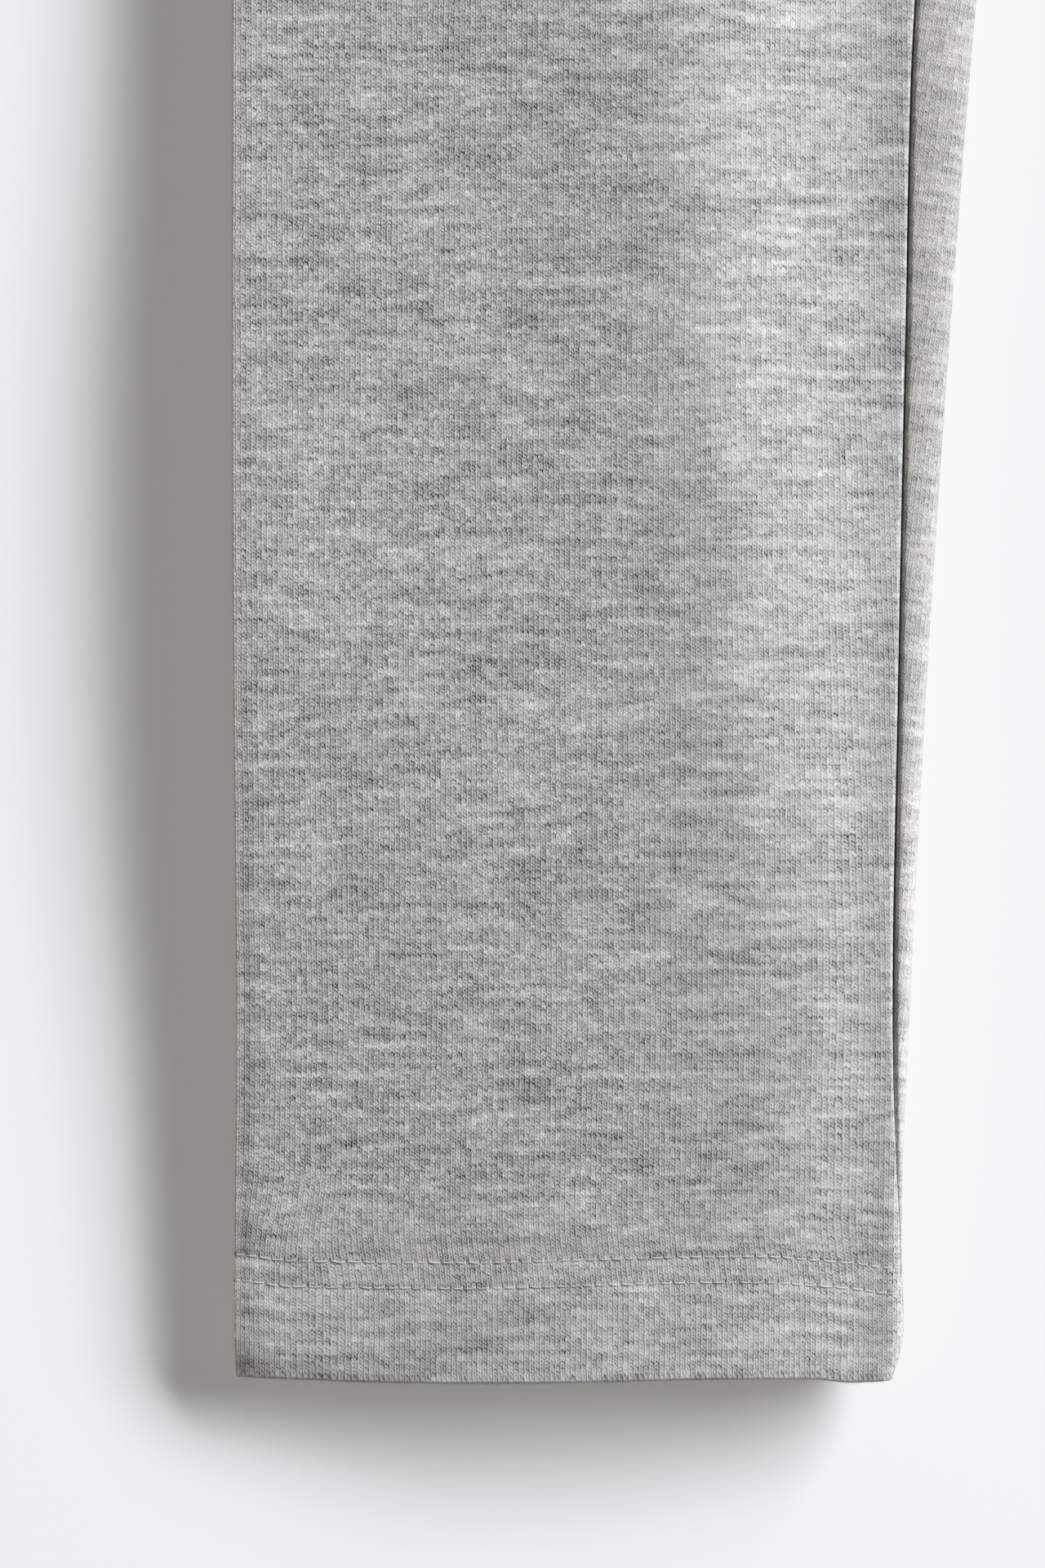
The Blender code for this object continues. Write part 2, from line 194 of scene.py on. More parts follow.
# Soft ridges, or troughs where the height is negative, along lines on the front of a leg: up and across
# at one end, up and across at the other, width and height
RIGHT_FOLDS = (
    (20, 86, 240, 100, 24, 0.95),
    (684, 14, 738, 118, 13, 1.9),
    (676, 20, 640, 128, 14, 1.6),
    (694, 16, 690, 96, 10, -1.7),
    (610, 52, 520, 96, 16, 1.2),
    (470, 60, 452, 150, 14, 1.3),
    (430, 66, 408, 158, 12, -1.2),
    (392, 58, 372, 140, 12, 1.0),
    (840, 96, 770, 120, 12, 1.2),
)
LEFT_FOLDS = (
    (36, 106, 268, 92, 22, 0.8),
    (686, 12, 726, 104, 14, 1.7),
    (672, 22, 622, 120, 13, 1.8),
    (698, 18, 704, 88, 11, -1.5),
    (590, 44, 508, 84, 15, 1.3),
    (462, 56, 436, 144, 15, 1.2),
    (418, 70, 402, 160, 11, -1.2),
    (376, 52, 348, 128, 12, 1.1),
    (846, 70, 786, 92, 12, 1.0),
)
FOLD_EDGE = 0.12
FOLD_FADE = 0.4

# At each place across the front: how far the hem's edge and its stitching stray up the leg
HEM_WAVE = (
    (66, -0.15, -1.40),
    (72, -0.35, -0.62),
    (78, 0.25, -0.10),
    (86, 0.40, 0.52),
    (97, 0.30, 0.46),
    (112, -0.10, 0.02),
    (137, -0.60, -0.68),
    (150, -0.55, -0.68),
    (162, -0.20, -0.50),
    (170, -0.05, 0.34),
)
# Between these heights the edge's wave turns into the stitches', and then leaves the leg
HEM_WAVE_TURN, HEM_WAVE_FADE = (2.0, 14.4), (21.0, 46.0)

# Where the wales lean: between two places across the front, the cloth is shifted towards the seam, not
# at all above the first height and by the whole shift below the second.
SKEWS = (
    (66, 163, 27, 12, 1.2),
    (149, 176, 34, 19, -1.5),
    (52, 78, 250, 60, 2.0),
)
SKEW_EDGE = 9.0

# Waistband, and the cloth beside it
WAIST_TUCK = 1.0  # how far the cloth beside the waist seam turns in
WAIST_TUCK_ROUND = 1.4
LEAST_WALL = 0.35
BAND_WALL = 3.0
BAND_TOP_HALF = 157.0
BAND_FRONT_STEPS = 300
BAND_BACK_STEPS = 90
BAND_ROWS = 16
BAND_TURN_STEPS = 8
BAND_FOOT = 1.0  # radius of the band's lower edges
BAND_FOOT_STEPS = 4
BACK_GATHER = 0.3  # how much of the gathers shows on the back
MERGE_DISTANCE = 1e-7

# Gathers: soft ridges that the elastic draws up, on the band and fading down the leg
GATHERS = 23
GATHER_SEED = 12
# Least and greatest stray from its even place, width, height, reach down the leg, and lean
GATHER_RANGES = ((-0.32, 0.32), (2.6, 4.6), (0.55, 1.25), (18.0, 62.0), (-0.12, 0.12))
GATHER_HEIGHT = 1.15
GATHER_LEVEL = 0.4  # how far the cloth between them lies lower
GATHER_FADE = 45.0  # length below the waist seam over which that ends
GATHER_EDGE = 9.0  # strip beside the fold that they stay off

# The knit
WALE = 0.83
COURSE = 0.58
# A loop's left leg runs straight up its wale, its right leg slants down, and its head joins them.
# Places and widths are shares of a wale and a course.
LEFT_WIDE = 0.16
RIGHT_PLACE, RIGHT_SLANT, RIGHT_WIDE = 0.45, 0.34, 0.165
RIGHT_FOOT, RIGHT_LEAST = 0.08, 0.45  # where the right leg starts, and its height there
HEAD_PLACE, HEAD_UP, HEAD_WIDE, HEAD_TALL, HEAD_HIGH = 0.28, 0.83, 0.28, 0.28, 0.88
COURSE_PEAK, COURSE_CLIMB = 0.3, 0.8  # a course's edge is highest here, and falls this far beside it
LOOP_RELIEF = 0.028
GAP_PAINTED_SHADE, GAP_MARL, GAP_SPECK = 0.54, 1.3, 0.44  # painted shade in the gaps between loops: how much, and how much the marl and single specks change it
KNIT_STRAY = 0.12  # of the wales and courses, in waves this long along and up the leg
WALE_WAVE, COURSE_WAVE = (11.0, 17.0), (14.0, 10.0)
LOOP_STRAY, LOOP_LENGTH = 0.13, 0.55  # of single loops
STRAND_MARL = 0.6
FIBRE_SIZE, FIBRE_DEPTH = 0.33, 0.25
CLOTH_ALBEDO = 0.447
CLOTH_RED, CLOTH_BLUE = 1.005, 1.0  # against its green
# Stitch holes: how far above each row they lie, their half width and half height, and the painted shade
# in them
HOLE_ABOVE = 0.28
HOLE_HALF_WIDTH = (0.05, 0.22)
HOLE_HALF_HEIGHT = (0.12, 0.50)
HOLE_PAINTED_SHADE = 0.50

# The marl: lengths in millimetres, and how much each part lightens or darkens the yarn
YARN_SHUFFLE = 400.0
YARN_LENGTH, YARN_SHORT, YARN_SHORT_SHARE, YARN_DEPTH = 9.0, 2.8, 0.8, 0.088
STREAK_LENGTH, STREAK_HEIGHT, STREAK_DEPTH = 8.5, 1.6, 0.21
CLOUD_LENGTH, CLOUD_HEIGHT, CLOUD_DEPTH = 30.0, 8.0, 0.085
SPECK_DEPTH = 0.27
# They show more away from the light: by how much, where along from the folded edge, and where up the leg
CRISP_FIBRE, CRISP_SPECK, CRISP_GAP = 0.9, 0.25, 0.08
CRISP_AFTER, CRISP_TO, CRISP_FROM = (-3.0, 0.0), (56.0, 80.0), (20.0, 34.0)
HEM_PALE, HEM_PALE_TO = 0.07, (17.0, 22.0)  # two layers let less light through than one
TINT_BLUE, TINT_RED, TINT_WARM, TINT_COOL = 0.034, 0.017, 0.012, -0.005  # near the hem; less above it
TINT_FADE = (26.0, 40.0)
TINT_LEAST = 0.12
NOISE_GAIN = 2.6

# The edges: where the cloth turns over, its fuzz hides the loops. Light and shade are painted there too:
# a painted highlight on the very edge, painted shade beside it, on the rolled edge and beside the seam,
# and a painted warm tint on the edge's shaded side
RIM_WIDE = 1.6  # from the folded edge, on the front
RIM_UNDER = 8.0  # and on the side below it
HEM_RIM_WIDE = 0.8
STRIP_RIM = 0.27  # on all of the rolled-over strip
# How far the fuzz evens out the loops at the edges, and the painted warm tint of the edges' shaded side
RIM_SMOOTH, PAINTED_RIM_RED, PAINTED_RIM_BLUE = 0.85, 0.07, -0.08
PAINTED_RIM_HIGHLIGHT, RIM_SHARP, PAINTED_RIM_SHADE = 1.0, 6.0, 0.22  # painted highlight on the very edge, painted shade beside it
LIT_RIM = 0.6  # share of it on the left leg, whose folded edge faces the light
# Painted shade along the rolled edge, and its width
PAINTED_ROLL_SHADE, PAINTED_ROLL_SHADE_WIDE = 0.38, 2.4
PAINTED_SEAM_SHADE, PAINTED_SEAM_SHADE_TO, PAINTED_SEAM_SHADE_WIDE = 0.30, 2.2, 16.0  # painted shade on the front beside the seam

# The thread
TWIST_PITCH, PLIES = 0.34, 2.0
# Painted shade in the grooves of the twist, and the strength and depth of the twist's bump
PLY_SHADE, PLY_STRENGTH, PLY_RELIEF = 0.10, 0.6, 0.03
THREAD_GRAIN, GRAIN_SHADE = 3.0, 0.05  # spots for each millimetre, and how much they show
THREAD_COLOUR = (0.435, 0.408, 0.395)
THREAD_UNEVEN = 0.24  # how much single stitches differ

# The fuzz along the edges: short fibres that stand out of the cloth
# Edge, from where to where up the leg, fibres for each millimetre, and their length
FUZZ = (
    ("fold", 2, 250, 5.0, 0.30),
    ("fold", 250, 640, 2.0, 0.34),
    ("roll", 2, 250, 9.0, 0.36),
    ("roll", 250, 640, 3.0, 0.38),
    ("hem", 0, 0, 16.0, 0.36),
)
FUZZ_STEP = 1.5
FUZZ_SPREAD = 0.8
FUZZ_THICK = 0.034
FUZZ_STRAY = 0.55
FUZZ_LONGER = (0.4, 1.7)
FUZZ_BEND, FUZZ_ROOT = 0.25, 0.3  # how far it bends and starts inside, as shares of its length
FUZZ_MIDDLE_THICK = 0.8
# A fibre's triangles: corners 0 to 2 are its root, 3 to 5 its middle and 6 its tip
FIBRE_SIDES = 3
FIBRE_FACES = (
    (0, 1, 4), (0, 4, 3), (1, 2, 5), (1, 5, 4), (2, 0, 3), (2, 3, 5), (3, 4, 6), (4, 5, 6), (5, 3, 6),
)
FUZZ_SEED = 83
FUZZ_COLOUR = (0.56, 0.55, 0.535)
FUZZ_LEAST, FUZZ_UNEVEN, FUZZ_TIP_PALE = 0.7, 0.5, 0.03  # its brightness, and how much that differs

FLOOR_SIZE = 6.0
FLOOR_DROP = 0.0002

# The camera looks straight down at this much of the floor
PHOTO_MM_PER_PIXEL = 0.13
PHOTO_TALL = 1920
PHOTO_CENTRE_X = -124.5
PHOTO_CENTRE_Y = -368.84
CAMERA_LENS = 100.0
CAMERA_SENSOR = 36.0
CLOTH_LEVEL = 10.0  # the height at which the picture has that scale

KEY_ELEVATION = 19.5
KEY_AZIMUTH = 32.0
KEY_DISTANCE = 8.0
KEY_WIDE, KEY_TALL = 7.4, 2.0
KEY_POWER = 1705.0
KEY_COLOUR = (0.972, 0.99, 1.018)
FILL_COLOUR = (1.0, 0.985, 0.898)
TOP_HEIGHT, TOP_SIZE, TOP_POWER = 3.0, 0.5, 22.5
FILL_STRENGTH = 0.06
# What the film makes of each brightness
HIGHLIGHTS = ((0.0, 0.0), (0.4, 0.421), (0.80, 0.813), (0.93, 0.917), (1.0, 0.936))
FLOOR_COLOUR = (0.82, 0.82, 0.845)


def ease(value, low=0.0, high=1.0):
    """0 below low to 1 above high, level at both ends."""
    share = np.clip((value - low) / (high - low), 0.0, 1.0)
    return share * share * (3.0 - 2.0 * share)


def bell(distance, width):
    """1 at no distance, falling smoothly to 0 on both sides."""
    return np.exp(-((distance / width) ** 2))


def between(first, last, steps):
    """Evenly spaced columns from first to last, without the first one."""
    return first + (last - first) * (np.arange(steps) + 1.0) / steps


def unit(vectors):
    """The same directions with a length of 1."""
    return vectors / np.linalg.norm(vectors, axis=-1, keepdims=True)


def travelled(points):
    """Distance from the first point of each row, along the row."""
    steps = np.linalg.norm(np.diff(points, axis=-2), axis=-1) / MM
    return np.insert(np.cumsum(steps, axis=-1), 0, 0.0, axis=-1)


def points_along(places, known, points):
    """Points at some places along a line whose own points lie at known ones."""
    return np.stack([np.interp(places, known, column) for column in points.T], axis=-1)


def smooth_table(table, places):
    """A table's other columns at some places of its first, on curves that don't overshoot."""
    rows = np.array(table, float)
    steps = np.diff(rows[:, 1:], axis=0) / np.diff(rows[:, :1], axis=0)
    left, right = steps[:-1], steps[1:]
    slopes = np.zeros_like(rows[:, 1:])
    same_way = left * right > 0.0
    slopes[1:-1][same_way] = 2.0 * (left * right)[same_way] / (left + right)[same_way]
    places = np.clip(places, rows[0, 0], rows[-1, 0])
    low = np.clip(np.searchsorted(rows[:, 0], places, side="right") - 1, 0, len(rows) - 2)
    span = (rows[low + 1, 0] - rows[low, 0])[..., None]
    share = (places - rows[low, 0])[..., None] / span
    values = rows[low, 1:] + (rows[low + 1, 1:] - rows[low, 1:]) * ease(share)
    values += span * share * (1.0 - share) * (slopes[low] * (1.0 - share) - slopes[low + 1] * share)
    return np.moveaxis(values, -1, 0)


def section(up):
    """The leg's sizes at each height, as columns."""
    return Section(up[:, None], *smooth_table(LEG, up)[..., None])


def fold_height(folds, up, across):
    """How far the folds lift the front at each place."""
    lift = np.zeros(np.broadcast(up, across).shape)
    for up_0, across_0, up_1, across_1, width, height in folds:
        run = (up_1 - up_0, across_1 - across_0)
        length = math.hypot(*run)
        along = ((up - up_0) * run[0] + (across - across_0) * run[1]) / length
        aside = ((up - up_0) * run[1] - (across - across_0) * run[0]) / length
        fade = FOLD_FADE * length
        tapered = ease(0.5 + along / fade) * ease(0.5 + (length - along) / fade)
        lift += height * tapered * bell(aside, width)
    return lift


def roll_sizes(size, depth):
    """Width and half height of the rolled inner edge."""
    return np.maximum(size.strip, ROLL_LEAST) - ROLL_SHRINK * depth, 0.5 * size.seam - depth


def roll_height(share):
    """Height over the roll's middle at a share of the way out from its top, as a share."""
    return (1.0 - share**ROLL_SQUARE) ** (1.0 / ROLL_SQUARE)


def curl(size, across, z):
    """How far the inner edge's underside curls up off the floor."""
    near = ease(1.0 - (across - size.inner) / CURL_WIDTH)
    lower = np.clip(1.0 - z / size.seam, 0.0, 1.0)
    return CURL * near * near * lower * (1.0 - ease(size.up, *CURL_UP))


def shoulder_sizes(depth):
    """Width and height of the folded edge's shoulder."""
    wide = np.maximum(FOLD_SHOULDER - depth, LEAST_RADIUS)
    return wide, np.maximum(FOLD_SHOULDER_DROP - depth, LEAST_RADIUS)


def fold_place(size, depth):
    """Where the front ends at the folded edge's shoulder, across."""
    return size.outer - depth - shoulder_sizes(depth)[0]


def front_z(size, across, folds, depth):
    """Height of the front between its folded edge and its seam."""
    wide, tall = roll_sizes(size, depth)
    left, right = fold_place(size, depth), size.inner + depth + wide
    share = np.clip((left - across) / (left - right), 0.0, 1.0)
    z = size.fold + (size.crest - size.fold) * ease(share / RISE_SHARE) - depth
    z = z - (size.crest - size.seam) * ease(share, size.ridge, 1.0)
    inside = ease(share / FOLD_EDGE) * ease((1.0 - share) / FOLD_EDGE)
    z = z + inside * fold_height(folds, size.up, across)
    drop, reach, crease = smooth_table(FOLD_CUSHION, size.up)
    beside = np.maximum(left - across, 0.0)
    z = z - drop * np.exp(-beside / reach) - crease * bell(beside - CREASE_PLACE, CREASE_WIDTH)
    past_roll = np.clip((right - across) / wide, 0.0, 1.0)
    return z - tall * (1.0 - roll_height(past_roll))


def outer_edge(size, depth):
    """(across, z) down round the folded outer edge."""
    wide, tall = shoulder_sizes(depth)
    side, under = size.outer - depth, FOLD_UNDER - depth
    drop, _, crease = smooth_table(FOLD_CUSHION, size.up)
    lip = drop + crease * bell(CREASE_PLACE, CREASE_WIDTH)
    middle = size.fold - depth - tall - lip
    turn = between(0.0, 0.5 * math.pi, SHOULDER_STEPS)
    below = between(0.0, 0.5 * math.pi, UNDER_STEPS)
    across = np.hstack([side - wide + wide * np.sin(turn), side - under + under * np.cos(below)])
    z = np.hstack([middle + tall * np.cos(turn), middle - (middle - depth) * np.sin(below)])
    return across, z


def tuck(size, depth, on_face):
    """(aside, sink) of the columns at a seam's edge, from its tucked end outwards."""
    deep = TUCK_AT_HEM + (TUCK - TUCK_AT_HEM) * ease((size.up - HEM_DEPTH) / TUCK_AFTER)
    if not on_face:
        share = np.linspace(0.0, 1.0, TUCK_COLUMNS)
        return LINING_TUCK * share + 0.0 * deep, np.maximum(deep - depth, 0.0) * (1.0 - share)
    radius = np.minimum(TUCK_ROUND, deep)
    tail = np.arange(TUCK_TAIL_STEPS) / TUCK_TAIL_STEPS
    turn = np.linspace(0.0, 0.5 * math.pi, TUCK_ROUND_STEPS + 1)
    aside = np.hstack([0.0 * deep * tail, radius * (1.0 - np.cos(turn))])
    sink = np.hstack([deep + (radius - deep) * tail, radius * (1.0 - np.sin(turn))])
    return aside, sink


def front_columns(start, seam, fold):
    """Places across the front, from the start beside its seam to its folded edge."""
    return np.hstack([
        between(start, seam + BESIDE_SEAM, BESIDE_SEAM_STEPS),
        between(seam + BESIDE_SEAM, fold - BESIDE_FOLD, FRONT_STEPS),
        between(fold - BESIDE_FOLD, fold, BESIDE_FOLD_STEPS),
    ])


def closed_ring(size, depth, folds, on_face):
    """(across, z) round the leg below the crotch, from the front's seam edge to the back's."""
    wide, tall = roll_sizes(size, depth)
    inner, middle = size.inner + depth, 0.5 * size.seam
    turn_seam = np.arccos(1.0 - size.strip / np.maximum(size.strip, ROLL_LEAST))
    radius = np.hypot(wide * np.sin(turn_seam), tall * np.cos(turn_seam))
    turn_back = turn_seam - 0.5 * SEAM_GAP / radius
    facing = (np.cos(turn_seam), np.sin(turn_seam))
    aside, sink = tuck(size, depth, on_face)
    turned = np.minimum(aside / radius, 0.5 * turn_back * aside / aside[:, -1:])

    def on_roll(turn):
        return inner + wide * (1.0 - np.cos(turn)), middle + tall * roll_height(np.cos(turn))

    edge = on_roll(turn_seam)[0] + 0.5 * SEAM_GAP * facing[1]
    beside = edge + aside * facing[1]
    columns = front_columns(beside[:, -1:], edge, fold_place(size, depth))
    folded = outer_edge(size, depth)
    under = ROLL_UNDER - ROLL_SHRINK * depth
    back = between(folded[0][:, -1:], inner + under, BACK_STEPS)
    lower = between(0.5 * math.pi, 0.0, ROLL_STEPS)
    lip = on_roll(turn_back - turned[:, -2::-1])
    lip_sink = sink[:, -2::-1]
    runs = [
        (beside + sink * facing[0], front_z(size, beside, folds, depth) - sink * facing[1]),
        (columns, front_z(size, columns, folds, depth)),
        folded,
        (back, depth + 0.0 * back),
        (inner + under * (1.0 - np.cos(lower)), middle - tall * np.sin(lower)),
        on_roll(between(0.0 * turn_back, turn_back - turned[:, -1:], ROLL_STEPS)),
        (lip[0] + lip_sink * facing[0], lip[1] - lip_sink * facing[1]),
    ]
    across, z = (np.hstack(run) for run in zip(*runs))
    return across, z + curl(size, across, z)


def open_ring(size, depth, folds, on_face):
    """(across, z) above the crotch, from the centre front round to the centre back."""
    centre = size.inner
    aside, sink = tuck(size, depth, on_face)
    flat = front_columns(centre + aside[:, -1:], centre, fold_place(size, depth))
    front = np.hstack([centre + aside, flat])
    z = front_z(size, np.maximum(front, centre + depth + roll_sizes(size, depth)[0]), folds, depth)
    z[:, : sink.shape[1]] -= sink
    folded = outer_edge(size, depth)
    back = np.hstack([
        between(folded[0][:, -1:], centre + OPEN_STRIP, BACK_STEPS),
        between(centre + OPEN_STRIP, centre, 2 * ROLL_STEPS + sink.shape[1] - 1),
    ])
    return np.hstack([front, folded[0], back]), np.hstack([z, folded[1], depth + 0.0 * back])


def gather_table():
    """Place, width, height, reach down the leg and lean of each gather, unevenly."""
    rng = np.random.default_rng(GATHER_SEED)
    strays, *sizes = [rng.uniform(*span, GATHERS) for span in GATHER_RANGES]
    places = (2.0 * (np.arange(GATHERS) + 0.5 + strays) / GATHERS - 1.0) * WAIST_HALF
    return np.stack([places, *sizes], axis=1)


def gather_lift(up, x, outer):
    """How far the waist's gathers lift the front, where x is negative on the right leg."""
    below = WAIST_SEAM - up
    lift = GATHER_LEVEL * (ease(below / GATHER_FADE) - 1.0) + 0.0 * x
    for place, width, height, reach, lean in gather_table():
        ridge = bell(x - place - lean * below, width)
        lift += GATHER_HEIGHT * height * ridge * (1.0 - ease(below / reach))
    return lift * ease((outer - np.abs(x)) / GATHER_EDGE)


def back_lift(up, x, outer):
    """The same for the back, which they lift a little off the surface below."""
    level = (1.0 - ease((WAIST_SEAM - up) / GATHER_FADE)) * ease((outer - np.abs(x)) / GATHER_EDGE)
    return BACK_GATHER * (level + gather_lift(up, -x, outer))


def waist_lift(outer, up, across, on_front):
    """How far the waist's curve moves a point: down at the centre front, up at the back."""
    amount = np.where(on_front, -FRONT_DROP, BACK_RISE)
    centred = np.cos(0.5 * math.pi * np.minimum(across / outer, 1.0)) ** 2
    return amount * centred * ease(up, CROTCH, WAIST_SEAM)


def hem_stray(up, across, on_front):
    """How far the hem's own wave moves a point up the leg."""
    edge, sewn = smooth_table(HEM_WAVE, across)
    stray = edge + (sewn - edge) * ease(up, *HEM_WAVE_TURN)
    return stray * on_front * (1.0 - ease(up, *HEM_WAVE_FADE))


def front_share(columns):
    """1 on the columns of the front, falling to 0 under the leg on both sides."""
    place = np.arange(columns)
    past_fold = np.clip((place - FOLD_COLUMN) / UNDER_STEPS, 0.0, 1.0)
    before_seam = np.clip((columns - 1 - place) / (TUCK_COLUMNS + 2 * ROLL_STEPS), 0.0, 1.0)
    return np.maximum(1.0 - ease(past_fold), 1.0 - ease(before_seam))


def leg_points(up, depth, side, folds, on_face=True):
    """Points in metres on a layer of the leg, with a row for each height up."""
    size, depth = section(up), depth[:, None]
    across, z = closed_ring(size, depth, folds, on_face)
    wide = open_ring(size, depth, folds, on_face)
    opened = ease((size.up - CROTCH) / OPEN_AFTER)
    across = across + (wide[0] - across) * opened
    z = z + (wide[1] - z) * opened
    column = np.arange(across.shape[1])
    top = up > WAIST_SEAM - GATHER_FADE
    on_top = size.up[top], side * across[top], size.outer[top]
    z[top] += np.where(column < FOLD_COLUMN, gather_lift(*on_top), 0.0)
    z[top] += np.where(column > FOLD_COLUMN + UNDER_STEPS, back_lift(*on_top), 0.0)
    groove = sum(bell(size.up - row, STITCH_GROOVE_WIDTH) for row in STITCH_ROWS_UP)
    pressed = np.where(depth < 0.5 * WALL, STITCH_GROOVE, 0.0) * groove
    z = z - pressed * (column < FOLD_COLUMN)
    on_front = front_share(len(column))
    y = size.up + UP_TO_Y + waist_lift(size.outer, size.up, across, on_front > 0.5)
    y = y + hem_stray(size.up, across, on_front)
    return np.stack([side * across, y, z], axis=-1) * MM


def along_ring(points):
    """Each point's distance from the folded edge along its row: negative on the back."""
    along = travelled(points)
    return along[:, [FOLD_COLUMN]] - along


def knit_shift(points):
    """How far the front's cloth is shifted from the folded edge at each point."""
    across, up = np.abs(points[..., 0]) / MM, points[..., 1] / MM - UP_TO_Y
    shift = 0.0 * across
    for left, right, top, foot, most in SKEWS:
        inside = ease((across - left) / SKEW_EDGE) * ease((right - across) / SKEW_EDGE)
        shift -= most * inside * (1.0 - ease(up, foot, top))
    return shift * (np.arange(points.shape[1]) < FOLD_COLUMN)


def leg_rows():
    """Heights of the rows above the hem's turn."""
    ends, steps = np.array(LEG_ROWS).T
    starts = np.array([0.5 * HEM_LAYERS, *ends[:-1]])
    counts = np.round((ends - starts) / steps).astype(int)
    return np.hstack([between(*stretch) for stretch in zip(starts, ends, counts)])


def quads(numbers):
    """The faces over a grid of point numbers, as an array of corners."""
    foot, top = numbers[:-1], numbers[1:]
    return np.stack([foot[:, :-1], foot[:, 1:], top[:, 1:], top[:, :-1]], axis=-1).reshape(-1, 4)


def wall_faces(rows, columns):
    """The face, the inside and the four edges of a sheet whose two sides have the same grid."""
    face = np.arange(rows * columns).reshape(rows, columns)
    edges = (face[0, ::-1], face[-1], face[:, 0], face[::-1, -1])
    around = [quads(np.stack([edge, edge + face.size])) for edge in edges]
    return np.vstack([quads(face), quads(face + face.size)[:, ::-1], *around])


def add_object(name, data):
    """A new object of the scene."""
    piece = bpy.data.objects.new(name, data)
    bpy.context.scene.collection.objects.link(piece)
    return piece


def new_mesh(name, points, faces, layers, material, turned_out=True):
    """A smooth-shaded object, with layers of two numbers for each point."""
    if not turned_out:
        faces = [face[::-1] for face in faces]
    mesh = bpy.data.meshes.new(name)
    mesh.from_pydata(points.reshape(-1, 3).tolist(), [], faces)
    mesh.materials.append(material)
    corner = np.empty(len(mesh.loops), int)
    mesh.loops.foreach_get("vertex_index", corner)
    for layer_name, values in layers.items():
        layer = mesh.uv_layers.new(name=layer_name)
        layer.data.foreach_set("uv", values.reshape(-1, 2)[corner].astype(np.float32).ravel())
    mesh.shade_smooth()
    return add_object(name, mesh)


# Python's signs, and what a maths node calls them
SIGNS = {"add": "ADD", "sub": "SUBTRACT", "mul": "MULTIPLY", "truediv": "DIVIDE", "pow": "POWER"}


class Term:
    """A number in a node tree, written with Python's own signs."""

    def __init__(self, tree, socket):
        self.tree, self.socket = tree, socket

    def __abs__(self):
        return self.tree.math("ABSOLUTE", self)


def give_sign(name, operation):
    """Lets a term stand on either side of one of Python's signs."""
    setattr(Term, f"__{name}__", lambda term, other: term.tree.math(operation, term, other))
    setattr(Term, f"__r{name}__", lambda term, other: term.tree.math(operation, other, term))


for sign, operation_name in SIGNS.items():
    give_sign(sign, operation_name)


class Tree:
    """A material whose nodes are made by short calls."""

    def __init__(self, name):
        self.material = bpy.data.materials.new(name)
        self.material.use_nodes = True
        self.nodes = self.material.node_tree.nodes

    def put(self, socket, value):
        """Sets a socket to a number or a colour, or links it to a term."""
        if isinstance(value, Term):
            self.material.node_tree.links.new(value.socket, socket)
        else:
            socket.default_value = value

    def fill(self, node, values):
        """Sets inputs of a node, with underscores for the spaces in their names."""
        for name, value in values.items():
            self.put(node.inputs[name.replace("_", " ")], value)

    def node(self, kind, output=0, settings=(), **values):
        """A node with these settings and inputs, and one of its outputs as a term."""
        node = self.nodes.new("ShaderNode" + kind)
        for name, setting in settings:
            setattr(node, name, setting)
        self.fill(node, values)
        return Term(self, node.outputs[output])

    def made(self, **values):
        """The finished material, whose shader has these inputs."""
        self.fill(self.nodes["Principled BSDF"], values)
        return self.material

    def math(self, operation, *values):
        """What a maths node makes of some values."""
        node = self.nodes.new("ShaderNodeMath")
        node.operation = operation
        for socket, value in zip(node.inputs, values):
            self.put(socket, value)
        return Term(self, node.outputs[0])

    def place(self, layer):
        """The two coordinates of a UV layer."""
        where = self.node("UVMap", settings=[("uv_map", layer)])
        return (self.node("SeparateXYZ", output=axis, Vector=where) for axis in (0, 1))

    def noise(self, seed, x, y=0.5):
        """Smooth noise about 0, seldom outside -1 to 1."""
        where = self.node("CombineXYZ", X=x, Y=y, Z=seed)
        found = self.node("TexNoise", Vector=where, Scale=1.0, Detail=0.0)
        return found * NOISE_GAIN - 0.5 * NOISE_GAIN

    def white(self, seed, x, y=0.5):
        """A number from 0 to 1 for each whole x and y."""
        return self.node("TexWhiteNoise", Vector=self.node("CombineXYZ", X=x, Y=y, Z=seed))

    def bell(self, distance, width):
        """1 at no distance, falling smoothly to 0 on both sides."""
        share = distance / width
        return self.math("EXPONENT", share * share * -1.0)

    def off_centre(self, value, centre=0.0):
        """Distance from the nearest of the centres that repeat every 1."""
        return self.math("FRACT", value + (0.5 - centre)) - 0.5

    def ease(self, value, low, high):
        """0 below low to 1 above high, smoothly."""
        smooth = [("interpolation_type", "SMOOTHSTEP")]
        return self.node("MapRange", settings=smooth, Value=value, From_Min=low, From_Max=high)

    def tinted(self, colour, brightness):
        """A colour at some brightness."""
        red, green, blue = (brightness * value for value in colour)
        return self.node("CombineColor", Red=red, Green=green, Blue=blue)


